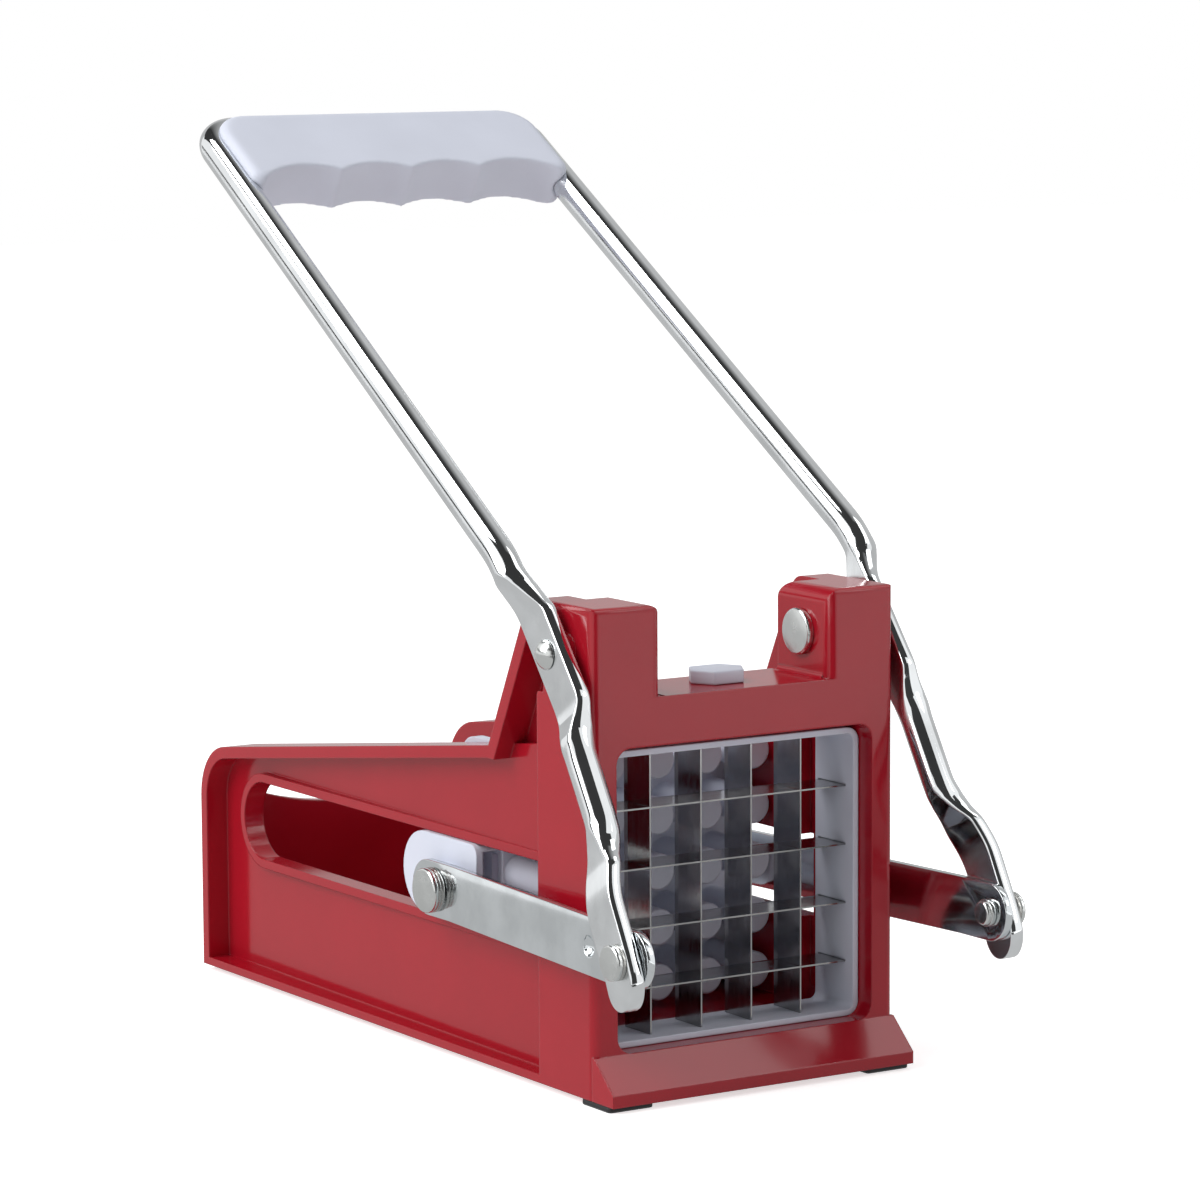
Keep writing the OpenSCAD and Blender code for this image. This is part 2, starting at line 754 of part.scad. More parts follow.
// the U's straight rods, corners and cross bar; the bent corners are drawn a trace thinner
corner_draw = 0.01;
rod_overlap = 0.05;
module upper_rods(radius) {
    tangent = corner_radius * tan((90 - toe) / 2);
    straight = upper_arm / cos(toe) - tangent;
    start = elbow_tangent + 1.2;
    for (right = [false, true]) side(right) {
        translate([half_elbow, 0, 0]) rotate([0, 0, toe]) rotate([-90, 0, 0])
            translate([0, 0, start]) cylinder(h = straight - start + rod_overlap, r = radius);
        translate([half_top - tangent, upper_arm - corner_radius, 0]) rotate([0, 0, toe])
            rotate_extrude(angle = 90 - toe)
                translate([corner_radius, 0]) circle(radius - corner_draw);
    }
    translate([-(half_top - tangent) - rod_overlap, upper_arm, 0]) rotate([0, 90, 0])
        cylinder(h = 2 * (half_top - tangent + rod_overlap), r = radius);
}

module lever() {
    color([0.66, 0.68, 0.7]) lever_frame() difference() {
        union() {
            upper_frame() upper_rods(rod_radius);
            for (right = [false, true]) side(right) leg();
        }
        for (right = [false, true]) side(right) {
            pin(half_body, half_body + 12, pivot_shank + running_gap);
            translate([0, 0, -lower_arm]) pin(half_body, half_body + 20, shank + seat_gap);
        }
    }
}

// ---- grip ----------------------------------------------------------------------------

grip_edge = 2.3;            // radius of the grip's edges
scallop_pitch = 18.2;
scallop_radius = (pow(scallop_pitch / 2, 2) + pow(scallop_depth, 2)) / (2 * scallop_depth);

// a round corner of the grip, with its top and bottom edges rounded
module grip_corner(radius) {
    half = grip_thickness / 2;
    rotate_extrude($fn = 40) intersection() {
        union() {
            translate([0, -half]) square([radius - grip_edge, 2 * half]);
            translate([0, grip_edge - half]) square([radius, 2 * (half - grip_edge)]);
            for (s = [-1, 1]) translate([radius - grip_edge, s * (half - grip_edge)])
                circle(grip_edge, $fn = 24);
        }
        translate([0, -half]) square([radius, 2 * half]);
    }
}

module grip() {
    low = upper_arm - grip_depth;
    color([0.8, 0.81, 0.86]) lever_frame() upper_frame() difference() {
        hull() {
            for (s = [-1, 1]) {
                translate([s * (half_top - corner_radius), upper_arm - corner_radius, 0])
                    grip_corner(corner_radius);
                translate([s * (half_top - 3), low + 3, 0]) grip_corner(3);
            }
        }
        upper_rods(rod_radius + seat_gap);
        for (i = [-1.5 : 1 : 1.5])
            translate([i * scallop_pitch, low + 4.6 - scallop_radius, -grip_thickness])
                cylinder(h = 2 * grip_thickness, r = scallop_radius, $fn = 96);
    }
}

// ---- rivets --------------------------------------------------------------------------

rivet_edge = 0.35;          // chamfer of the flat heads

// flat head with a chamfered outer edge, standing on x0
module flat_head(x0, diameter, height) {
    pin(x0, x0 + height - rivet_edge, diameter / 2);
    translate([x0 + height - rivet_edge, 0, 0]) rotate([0, 90, 0])
        cylinder(h = rivet_edge, r1 = diameter / 2, r2 = diameter / 2 - rivet_edge);
}

module pivot_rivet(right) {
    lever_face = pivot_plane + flat_thickness / 2 + side_gap;
    dome_height = 1.9;
    dome_radius = (pow(dome_diameter / 2, 2) + pow(dome_height, 2)) / (2 * dome_height);
    color([0.7, 0.72, 0.74]) placed() side(right) at_pivot() {
        // head on the ear's inner face
        translate([saddle_width / 2 - seat_gap, 0, 0]) mirror([1, 0, 0]) flat_head(0, head_pivot, 1.5);
        pin(saddle_width / 2 - 1, lever_face + 0.5, pivot_shank);
        // dome on the lever's outer face
        translate([lever_face, 0, 0]) rotate([0, 90, 0]) rotate_extrude()
            intersection() {
                translate([0, dome_height - dome_radius]) circle(dome_radius);
                square([dome_diameter, dome_height + 1]);
            }
    }
}

module rear_rivet(right) {
    head_face = link_rear_outside + side_gap + 2 * (washer_thickness + seat_gap);
    inner_face = half_plate - arm_thickness - seat_gap;
    color([0.7, 0.72, 0.74]) placed() side(right) at_rear_pin() {
        flat_head(head_face, head_rear, 1.1);
        pin(inner_face - 0.5, head_face + 0.5, shank);
        translate([inner_face, 0, 0]) mirror([1, 0, 0]) flat_head(0, 7.6, 1);
    }
}

module washer(x0, diameter, hole) {
    difference() {
        pin(x0, x0 + washer_thickness, diameter / 2);
        pin(x0 - 1, x0 + washer_thickness + 1, hole);
    }
}

module rear_washer(right, place) {
    color([0.6, 0.61, 0.62]) placed() side(right) at_rear_pin()
        washer(link_rear_outside + side_gap + place * (washer_thickness + seat_gap), head_rear,
               shank + running_gap);
}

// the front rivet is parted between lever and link, where the linkage is opened
module front_rivet(right) {
    lever_face = pin_plane + flat_thickness / 2 + seat_gap;
    head_face = lever_face + washer_thickness + seat_gap;
    color([0.7, 0.72, 0.74]) placed() side(right) at_front_pin() {
        pin(pin_plane - flat_thickness / 2 + 0.02, head_face + 0.5, shank);
        flat_head(head_face, head_front, 1.15);
    }
}

module front_washer(right) {
    color([0.6, 0.61, 0.62]) placed() side(right) at_front_pin()
        washer(pin_plane + flat_thickness / 2 + seat_gap, head_front, shank + seat_gap);
}

module front_rivet_tail(right) {
    color([0.7, 0.72, 0.74]) placed() side(right) at_front_pin() {
        pin(link_front_inside - 0.5, link_front_outside - 0.02, shank);
        translate([link_front_inside - seat_gap, 0, 0]) mirror([1, 0, 0]) {
            pin(0, 1, 2.9);
            flat_head(0.8, 5, 1.2);
        }
    }
}

// ---- assembly ------------------------------------------------------------------------

body();
foot(false, false);  // foot_front_left
foot(true, false);  // foot_front_right
foot(false, true);  // foot_rear_left
foot(true, true);  // foot_rear_right
grid_frame();
vertical_blade(1);  // vertical_blade_1
vertical_blade(2);  // vertical_blade_2
vertical_blade(3);  // vertical_blade_3
vertical_blade(4);  // vertical_blade_4
horizontal_blade(1);  // horizontal_blade_1
horizontal_blade(2);  // horizontal_blade_2
horizontal_blade(3);  // horizontal_blade_3
horizontal_blade(4);  // horizontal_blade_4
grid_lock();
pusher();
link(false);  // link_left
link(true);  // link_right
lever();
grip();
pivot_rivet(false);  // pivot_rivet_left
pivot_rivet(true);  // pivot_rivet_right
rear_rivet(false);  // rear_rivet_left
rear_rivet(true);  // rear_rivet_right
rear_washer(false, 1);  // rear_washer_outer_left
rear_washer(true, 1);  // rear_washer_outer_right
rear_washer(false, 0);  // rear_washer_inner_left
rear_washer(true, 0);  // rear_washer_inner_right
front_rivet(false);  // front_rivet_left
front_rivet(true);  // front_rivet_right
front_washer(false);  // front_washer_left
front_washer(true);  // front_washer_right
front_rivet_tail(false);  // front_rivet_tail_left
front_rivet_tail(true);  // front_rivet_tail_right
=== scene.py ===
"""Looks of the lever french fry cutter: finishes, soft edges, light and camera."""
import json
import math
import bmesh
import bpy
import numpy as np
from mathutils import Matrix, Vector


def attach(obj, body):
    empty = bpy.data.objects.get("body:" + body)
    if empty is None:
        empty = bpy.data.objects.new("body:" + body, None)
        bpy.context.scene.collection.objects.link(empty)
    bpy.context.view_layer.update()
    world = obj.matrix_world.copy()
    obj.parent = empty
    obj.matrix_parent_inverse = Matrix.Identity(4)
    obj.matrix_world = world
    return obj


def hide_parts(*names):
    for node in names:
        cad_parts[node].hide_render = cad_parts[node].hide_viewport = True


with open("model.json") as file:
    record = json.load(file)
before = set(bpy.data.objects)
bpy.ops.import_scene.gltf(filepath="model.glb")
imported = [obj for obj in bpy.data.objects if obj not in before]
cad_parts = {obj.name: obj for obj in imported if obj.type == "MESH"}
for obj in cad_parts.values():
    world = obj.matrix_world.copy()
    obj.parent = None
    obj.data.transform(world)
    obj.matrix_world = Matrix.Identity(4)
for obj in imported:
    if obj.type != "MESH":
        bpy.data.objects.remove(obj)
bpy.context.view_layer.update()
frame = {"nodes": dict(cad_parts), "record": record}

nodes = frame["nodes"]
scene = bpy.context.scene


# ---- finishes ------------------------------------------------------------------------------

# how wide the mouldings' edges look rounded, in metres
MOULD_EDGE = 0.0005
# how fine the clouds in a colour, the changes of gloss and the mould's ripple are, per metre
PLASTIC_CLOUDS, PLASTIC_GLOSS, PLASTIC_RIPPLE = 60, 420, 160
PLATING_CLOUDS = 90
# how high the mould's ripple and the metals' drawing lines stand, in metres
RIPPLE_HEIGHT, LINE_HEIGHT = 0.0002, 0.00004
# the added dullness of a pressed face, and between which tilts it sets in: 1 is square to X
PRESSED_DULLNESS, PRESSED_FROM, PRESSED_FULL = 0.17, 0.955, 0.985


class Finish:
    """A material's node tree with short calls for the nodes that the finishes share."""

    def __init__(self, name, colour, roughness, metal=0.0):
        self.material = bpy.data.materials.new(name)
        self.material.use_nodes = True
        self.tree = self.material.node_tree
        self.shader = self.tree.nodes["Principled BSDF"]
        self.place = self.add("ShaderNodeTexCoord")
        self.rounded = None
        self.set("Base Color", (*colour, 1.0))
        self.set("Roughness", roughness)
        self.set("Metallic", metal)

    def add(self, kind, **values):
        node = self.tree.nodes.new(kind)
        for key, value in values.items():
            setattr(node, key, value)
        return node

    def set(self, socket, value):
        self.shader.inputs[socket].default_value = value

    def link(self, output, socket):
        self.tree.links.new(output, socket)

    def grain(self, scale, detail, stretch=(1, 1, 1)):
        """noise of the given scale per metre, drawn out along an axis by its stretch"""
        mapping = self.add("ShaderNodeMapping")
        mapping.inputs["Scale"].default_value = stretch
        self.link(self.place.outputs["Object"], mapping.inputs["Vector"])
        noise = self.add("ShaderNodeTexNoise")
        noise.inputs["Scale"].default_value = scale
        noise.inputs["Detail"].default_value = detail
        self.link(mapping.outputs[0], noise.inputs["Vector"])
        return noise.outputs["Fac"]

    def ramp(self, source, stops):
        """source value to a value or colour by [place, colour] stops"""
        node = self.add("ShaderNodeValToRGB")
        while len(node.color_ramp.elements) < len(stops):
            node.color_ramp.elements.new(0.5)
        for element, (place, value) in zip(node.color_ramp.elements, stops):
            element.position = place
            element.color = (*value, 1.0) if hasattr(value, "__len__") else (value,) * 3 + (1.0,)
        self.link(source, node.inputs[0])
        return node.outputs[0]

    def soften(self, radius):
        """rounds the look of sharp edges by the given radius in metres"""
        node = self.add("ShaderNodeBevel", samples=6)
        node.inputs["Radius"].default_value = radius
        self.rounded = node.outputs[0]
        self.link(self.rounded, self.shader.inputs["Normal"])

    def bump(self, source, strength, distance):
        """unevenness of the given height in metres, on top of the softened edges"""
        node = self.add("ShaderNodeBump")
        if self.rounded:
            self.link(self.rounded, node.inputs["Normal"])
        node.inputs["Strength"].default_value = strength
        node.inputs["Distance"].default_value = distance
        self.link(source, node.inputs["Height"])
        self.link(node.outputs[0], self.shader.inputs["Normal"])


def moulded(name, colour, roughness, ripple, shine=0.5):
    """moulded plastic: soft edges, clouds a few hundredths darker or lighter than the colour,
    gloss that varies as little, and a faint ripple of the mould's polish"""
    f = Finish(name, colour, roughness)
    f.set("Specular IOR Level", shine)
    f.soften(MOULD_EDGE)
    low = tuple(c * 0.97 for c in colour)
    high = tuple(min(1.0, c * 1.02) for c in colour)
    clouds = f.grain(PLASTIC_CLOUDS, 2)
    f.link(f.ramp(clouds, [(0.3, low), (0.7, high)]), f.shader.inputs["Base Color"])
    gloss = f.grain(PLASTIC_GLOSS, 4)
    f.link(f.ramp(gloss, [(0.35, roughness * 0.96), (0.7, roughness * 1.05)]), f.shader.inputs["Roughness"])
    f.bump(f.grain(PLASTIC_RIPPLE, 0), ripple, RIPPLE_HEIGHT)
    return f


def metal(name, colour, roughness, scale, stretch, marks):
    """steel: cloudy patches of plating, a seventh darker, and fine drawing or rolling lines
    along one axis, from three tenths smoother to half rougher than the roughness given"""
    f = Finish(name, colour, roughness, 1.0)
    low = tuple(c * 0.86 for c in colour)
    clouds = f.grain(PLATING_CLOUDS, 4)
    f.link(f.ramp(clouds, [(0.35, low), (0.62, colour)]), f.shader.inputs["Base Color"])
    lines = f.grain(scale, 4, stretch)
    f.link(f.ramp(lines, [(0.3, roughness * 0.7), (0.75, roughness * 1.5)]), f.shader.inputs["Roughness"])
    f.bump(lines, marks, LINE_HEIGHT)
    return f


def pressed_metal(name, *values):
    """metal with a duller face where dies have pressed it flat, square to X"""
    f = metal(name, *values)
    axes = f.add("ShaderNodeSeparateXYZ")
    f.link(f.place.outputs["Normal"], axes.inputs[0])
    sideways = f.add("ShaderNodeMath", operation="ABSOLUTE")
    f.link(axes.outputs["X"], sideways.inputs[0])
    total = f.add("ShaderNodeMath", operation="ADD")
    f.link(f.shader.inputs["Roughness"].links[0].from_socket, total.inputs[0])
    pressed = f.ramp(sideways.outputs[0], [(PRESSED_FROM, 0.0), (PRESSED_FULL, PRESSED_DULLNESS)])
    f.link(pressed, total.inputs[1])
    f.link(total.outputs[0], f.shader.inputs["Roughness"])
    return f


# moulded: name, colour, roughness, ripple and shine
# metal: name, colour, roughness, how fine its lines are per metre, their stretch and depth
finishes = {
    "red_moulding": moulded("red_moulding", (0.36, 0.006, 0.016), 0.13, 0.08),
    "white_plastic": moulded("white_plastic", (0.66, 0.69, 0.79), 0.44, 0.015, 0.3),
    "foot_rubber": moulded("foot_rubber", (0.012, 0.012, 0.014), 0.55, 0.4),
    "blade_steel": metal("blade_steel", (0.40, 0.40, 0.40), 0.16, 240, (1, 4, 1), 0.05),
    "plated_rod": pressed_metal("plated_rod", (0.86, 0.885, 0.90), 0.05, 300, (6, 1, 1), 0.04),
    "link_steel": metal("link_steel", (0.78, 0.82, 0.84), 0.12, 400, (1, 0.06, 1), 0.02),
    "rivet_steel": metal("rivet_steel", (0.76, 0.78, 0.77), 0.20, 500, (1, 1, 1), 0.10),
    "washer_steel": metal("washer_steel", (0.52, 0.52, 0.50), 0.24, 500, (1, 1, 1), 0.15),
}

slots = {entry["node"]: entry["material_slot"] for entry in frame["record"]["subparts"]}
for name, node in nodes.items():
    node.data.materials.clear()
    node.data.materials.append(finishes[slots[name]].material)


# ---- sizes ---------------------------------------------------------------------------------

# All in millimetres. Depths run back from the tower's front face, heights up from the body's
# underside, which the feet hold FOOT above the worktop. Along a leg of the lever, distances
# run up from the pivot, so what lies below it is negative.
FOOT = 1.3
BODY_LENGTH = 171.5
# the tower's half width and its gap to the lever at the pivot
TOWER_HALF, PIVOT_GAP = 38, 1.3
# a link's half width, its inner face's place, its thickness and its gap to the lever
LINK_HALF, LINK_INSIDE, LINK_THICK, LINK_GAP = 6.1, 43.7, 1.8, 0.15

# the lever: its pivot's depth and height, its pin's height, and its lean below the elbow
PIVOT = (10.4, 92.4)
PIN_HEIGHT = 35.1
LEAN = math.radians(32.3)
LOWER_ARM = (PIVOT[1] - PIN_HEIGHT) / math.cos(LEAN)
# the round rod's radius, and the radius whose area a pressed section has
ROD, GIRTH = 3.4, 3.32
# the elbow's place, bend and radius, and the straight length above it
ELBOW, ELBOW_ANGLE, ELBOW_RADIUS, UPPER_ARM = 19.3, 25.4, 40.0, 162.0
ELBOW_TANGENT = ELBOW_RADIUS * math.tan(math.radians(ELBOW_ANGLE / 2))
ELBOW_START = ELBOW - ELBOW_TANGENT
ELBOW_END = ELBOW_START + ELBOW_RADIUS * math.radians(ELBOW_ANGLE)
# how far the rod's axis stands from the middle, at the cross bar, the elbow and between the
# two pressed lengths, the radius of the top corners, and the angle at which the legs draw in
HALF_TOP, HALF_ELBOW, HALF_ROUND, CORNER = 41.9, 44.3, 42.3, 8.0
TOE = math.atan((HALF_ELBOW - HALF_TOP) / UPPER_ARM)
# the thickness of a pressed length, and how far its middle stands out at the pivot and the pin
FLAT = 3.3
PIVOT_PLANE = TOWER_HALF + PIVOT_GAP + FLAT / 2
PIN_PLANE = LINK_INSIDE + LINK_THICK + LINK_GAP + FLAT / 2
# from the tip up: the flat at the pin ends, the rod is round, it flattens, the flat at the
# pivot begins, it ends, and the rod is round again
TIP = -LOWER_ARM - 9.5
PIN_FLAT, PIN_RAMP, LOW_RAMP, LOW_FLAT = -LOWER_ARM + 20, -LOWER_ARM + 28, -22.0, -12.0
HIGH_FLAT, HIGH_RAMP = 9.4, 18.0
# the leg bends outwards to its pin between these two, and sways forwards by these amounts
OUT_START, OUT_END = 11 - LOWER_ARM, 31 - LOWER_ARM
SWAY_AT = [TIP, -LOWER_ARM, PIN_FLAT, LOW_RAMP, LOW_FLAT, HIGH_FLAT, 24]
SWAY = [-2.6, -1.2, 0, 0.3, 1.3, -0.9, 0]
# a flat's rounded edge as a share of its half thickness, how far inside it runs the line of
# points that keeps the flat flat, and the points round a section
EDGE, EDGE_LINE, AROUND = 0.5, 0.4, 56
# distance between rings, the fine step for blending and the length to either side of a blend
RING_STEP, FINE_STEP, BLEND = 0.5, 0.1, 2.4
# radii of the lever's holes for the pivot rivets and for the pins, and how far out from the
# middle the drill starts
PIVOT_HOLE, PIN_HOLE = 2.26, 2.05
PIVOT_DRILL, PIN_DRILL = 50, 58

# the ears: inner face, top, depth, and the rounding of their inner top corners
EAR_INSIDE, EAR_TOP, EAR_DEPTH, EAR_ROUND = 21.0, 102.3, 18.9, 3.4

# the pin's place, and the depth of the whole object's middle, where Y is 0
PIN = (PIVOT[0] - LOWER_ARM * math.sin(LEAN), PIVOT[1] - LOWER_ARM * math.cos(LEAN))
CENTRE_Y = (BODY_LENGTH + PIVOT[0] - LOWER_ARM * math.sin(LEAN) - LINK_HALF) / 2

# in metres and degrees: how wide the small pieces' edges are rounded, and from which angle
SOFT_EDGES = {"foot": (0.0003, 28), "grid_lock": (0.0003, 28), "link": (0.00018, 28),
              "rivet": (0.00012, 25), "washer": (0.00010, 25)}
# in metres and rounds: the grip's even mesh and how long it is smoothed
GRIP_MESH, GRIP_SMOOTHING = 0.0004, 14


# ---- meshes --------------------------------------------------------------------------------

def closed_mesh(name, points, faces):
    """closed mesh with its doubles merged, turned outwards and shaded smooth"""
    mesh = bpy.data.meshes.new(name)
    mesh.from_pydata(points.tolist(), [], faces)
    build = bmesh.new()
    build.from_mesh(mesh)
    bmesh.ops.remove_doubles(build, verts=build.verts, dist=1e-6)
    bmesh.ops.recalc_face_normals(build, faces=build.faces)
    for face in build.faces:
        face.smooth = True
    build.to_mesh(mesh)
    build.free()
    return mesh


def tube_mesh(name, rings):
    """closed tube through the rings, with a face at either end"""
    count, around = rings.shape[:2]
    i, k = np.meshgrid(np.arange(count - 1), np.arange(around), indexing="ij")
    n = (k + 1) % around
    quads = np.stack([i * around + k, (i + 1) * around + k, (i + 1) * around + n, i * around + n], axis=2)
    faces = quads.reshape(-1, 4).tolist()
    faces.append(list(range(around)))
    faces.append([(count - 1) * around + m for m in range(around - 1, -1, -1)])
    mesh = closed_mesh(name, rings.reshape(-1, 3), faces)
    mesh.set_sharp_from_angle(angle=math.radians(20))
    return mesh


def cut_away(piece, cutter_mesh):
    """takes a closed mesh away from a piece that isn't in the scene yet, and keeps the result
    as the piece's own mesh; the cut is worked out only while both are in the scene"""
    cutter = bpy.data.objects.new("cutter", cutter_mesh)
    scene.collection.objects.link(cutter)
    scene.collection.objects.link(piece)
    cut = piece.modifiers.new("cut", "BOOLEAN")
    cut.object = cutter
    cut.solver = "EXACT"
    graph = bpy.context.evaluated_depsgraph_get()
    graph.update()
    mesh = bpy.data.meshes.new_from_object(piece.evaluated_get(graph))
    piece.modifiers.clear()
    piece.data = mesh
    scene.collection.objects.unlink(piece)
    bpy.data.objects.remove(cutter)
    bpy.data.meshes.remove(cutter_mesh)


# ---- softened mouldings and pressings ------------------------------------------------------

def body_of_node(name):
    for body, members in frame["record"]["behaviour"]["bodies"].items():
        if name in members:
            return body
    raise KeyError(name)


def finished_piece(piece, name):
    """puts a new piece in the place of a CAD node, on its body and with its finish"""
    piece.data.materials.clear()
    piece.data.materials.append(finishes[slots[name]].material)
    scene.collection.objects.link(piece)
    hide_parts(name)
    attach(piece, body_of_node(name))


def shaped(name, bevel=0.0, angle=0.0, cutter=None):
    """a CAD node's shape as one merged skin, smooth over its arcs, less the cutter's mesh. Its
    edges over the given angle in degrees are rounded by the bevel's width in metres; without
    a bevel its flat faces are kept flat and the finish softens the edges."""
    mesh = nodes[name].data.copy()
    build = bmesh.new()
    build.from_mesh(mesh)
    bmesh.ops.remove_doubles(build, verts=build.verts, dist=2e-6)
    flatness = math.radians(0.6 if bevel else 0.1)
    bmesh.ops.dissolve_limit(build, angle_limit=flatness, verts=build.verts, edges=build.edges)
    for face in build.faces:
        face.smooth = True
    build.to_mesh(mesh)
    build.free()
    piece = bpy.data.objects.new(name + "_skin", mesh)
    if cutter:
        cut_away(piece, cutter)
    if bevel:
        edges = piece.modifiers.new("edges", "BEVEL")
        edges.width = bevel
        edges.segments = 2
        edges.limit_method = "ANGLE"
        edges.angle_limit = math.radians(angle)
        edges.harden_normals = True
        edges.use_clamp_overlap = False
        edges.miter_outer = "MITER_ARC"
    else:
        piece.data.set_sharp_from_angle(angle=math.radians(20))
        flats = piece.modifiers.new("flats", "WEIGHTED_NORMAL")
        flats.keep_sharp = True
        flats.weight = 90
    finished_piece(piece, name)
    return piece


def ear_corner_cutter(steps=12):
    """what the rounding of both ears' inner top corners takes away: a quarter circle
    (x, z) = centre + r (cos w, sin w), closed 1 mm outside the corner and carried along Y from
    2 mm before the ears to 6 mm behind them"""
    w = np.linspace(0, math.pi / 2, steps)
    arc = np.stack([-EAR_INSIDE - EAR_ROUND + EAR_ROUND * np.cos(w),
                    EAR_TOP - EAR_ROUND + EAR_ROUND * np.sin(w)], axis=1)
    around = np.array([[-EAR_INSIDE - EAR_ROUND, EAR_TOP + 1], [-EAR_INSIDE + 1, EAR_TOP + 1],
                       [-EAR_INSIDE + 1, EAR_TOP - EAR_ROUND]])
    outline = np.concatenate([arc, around])
    count = len(outline)
    points, faces = [], []
    for side in (1, -1):
        for y in (-2.0, EAR_DEPTH + 6.0):
            points.append(np.stack([side * outline[:, 0], np.full(count, y), outline[:, 1]], axis=1))
        first = 2 * count * (side < 0)
        faces.append([first + k for k in range(count)])
        faces.append([first + count + k for k in range(count - 1, -1, -1)])
        faces += [[first + k, first + count + k, first + count + (k + 1) % count, first + (k + 1) % count]
                  for k in range(count)]
    return closed_mesh("ear_corners", (np.concatenate(points) + [0, -CENTRE_Y, FOOT]) / 1000, faces)


shaped("body", cutter=ear_corner_cutter())
shaped("grid_frame")
shaped("pusher")
for name in nodes:
    for kind, (width, angle) in SOFT_EDGES.items():
        if kind in name:
            shaped(name, width, angle)


# ---- the lever -----------------------------------------------------------------------------

def eased(u, start, end, low, high):
    """from low at start to high at end along 3f^2 - 2f^3, where f is the share of the way"""
    f = np.clip((u - start) / (end - start), 0, 1)
    return low + (high - low) * f * f * (3 - 2 * f)


def blended(u, v, value):
    """the value known at the fine steps v, averaged over BLEND to either side and read at u"""
    window = np.hanning(int(BLEND / FINE_STEP) * 2 + 1)
    spread = np.pad(value, len(window) // 2, "edge")
    return np.interp(u, v, np.convolve(spread, window / window.sum(), "valid"))


def half_width(t):
    """the half width b = sqrt((pi g^2 / 4t)^2 + t^2 / 3) that the girth g leaves to a section
    pressed to the half thickness t, and at least the round rod's"""
    return np.maximum(ROD, np.sqrt((math.pi * GIRTH ** 2 / (4 * t)) ** 2 + t ** 2 / 3))


def leg_profile(u):
    """half thickness, place to the side and sway to the front at the distances u along a leg,
    worked out on a fine scale and blended, as a press bends the rod"""
    v = np.arange(TIP - 5, ELBOW_END + 5, FINE_STEP)
    by_pin = np.interp(v, [PIN_FLAT, PIN_RAMP], [FLAT / 2, ROD])
    under_pivot = eased(v, LOW_RAMP, LOW_FLAT, ROD, FLAT / 2)
    over_pivot = np.interp(v, [HIGH_FLAT, HIGH_RAMP], [FLAT / 2, ROD])
    thickness = np.where(v < LOW_RAMP, by_pin, np.where(v < HIGH_FLAT, under_pivot, over_pivot))
    low = eased(v, OUT_START, OUT_END, PIN_PLANE, HALF_ROUND)
    mid = np.where(v < HIGH_FLAT, eased(v, LOW_RAMP, LOW_FLAT, HALF_ROUND, PIVOT_PLANE),
                   np.interp(v, [HIGH_FLAT, HIGH_RAMP], [PIVOT_PLANE, HALF_ELBOW]))
    high = HALF_ELBOW - np.maximum(0, v - ELBOW) * math.sin(TOE)
    side = np.where(v < LOW_RAMP, low, np.where(v < HIGH_RAMP, mid, high))
    return blended(u, v, thickness), blended(u, v, side), blended(u, v, np.interp(v, SWAY_AT, SWAY))


def section(t, width):
    """points round sections between two die planes at plus and minus t: flats of half length h
    joined by half ellipses, (t sin w, h + (b - h) cos w), where b is the half width and h the
    smaller of sqrt(b^2 - t^2) and b - edge t, so that an unpressed rod is round. A line of
    points just inside each flat's end keeps it flat."""
    flat = np.minimum(np.sqrt(np.maximum(0, width ** 2 - t ** 2)), width - EDGE * t)
    w = np.linspace(math.pi / 2, -math.pi / 2, AROUND // 2)
    one = np.ones(1)
    sine = np.concatenate([one, np.sin(w), -one])
    cosine = np.concatenate([0 * one, np.cos(w), 0 * one])
    inner = np.concatenate([one, 0 * w, one])
    across = t[:, None] * np.concatenate([sine, -sine])
    bow = (flat[:, None] + (width - flat)[:, None] * cosine
           - np.minimum(flat, EDGE_LINE)[:, None] * inner)
    return across, np.concatenate([bow, -bow], axis=1)


def leg_rings():
    """rings from a leg's tip past the pin and the pivot to the elbow's upper end, where the
    path runs on an arc: y = R (1 - cos a), z = start + R sin a. The tip's outline is an arc of
    the flat's half width, whose first ring lies a hair inside so that it has a size."""
    reach = half_width(FLAT / 2)
    tip_steps = TIP + 0.02 + reach * (1 - np.cos(np.linspace(0, math.pi / 2, 14)))
    u = np.concatenate([tip_steps, np.arange(TIP + reach + RING_STEP, ELBOW_END - 0.2, RING_STEP),
                        [ELBOW_END]])
    t, x, sway = leg_profile(u)
    a = np.clip((u - ELBOW_START) / (ELBOW_END - ELBOW_START), 0, 1) * math.radians(ELBOW_ANGLE)
    y = ELBOW_RADIUS * (1 - np.cos(a)) - sway
    z = np.minimum(u, ELBOW_START) + ELBOW_RADIUS * np.sin(a)
    tip = np.sqrt(np.maximum(0.02, 1 - (np.maximum(0, TIP + reach - u) / reach) ** 2))
    across, forward = section(t, half_width(t))
    forward = tip[:, None] * forward
    return np.stack([x[:, None] + across,
                     y[:, None] - forward * np.cos(a)[:, None],
                     z[:, None] + forward * np.sin(a)[:, None]], axis=2)


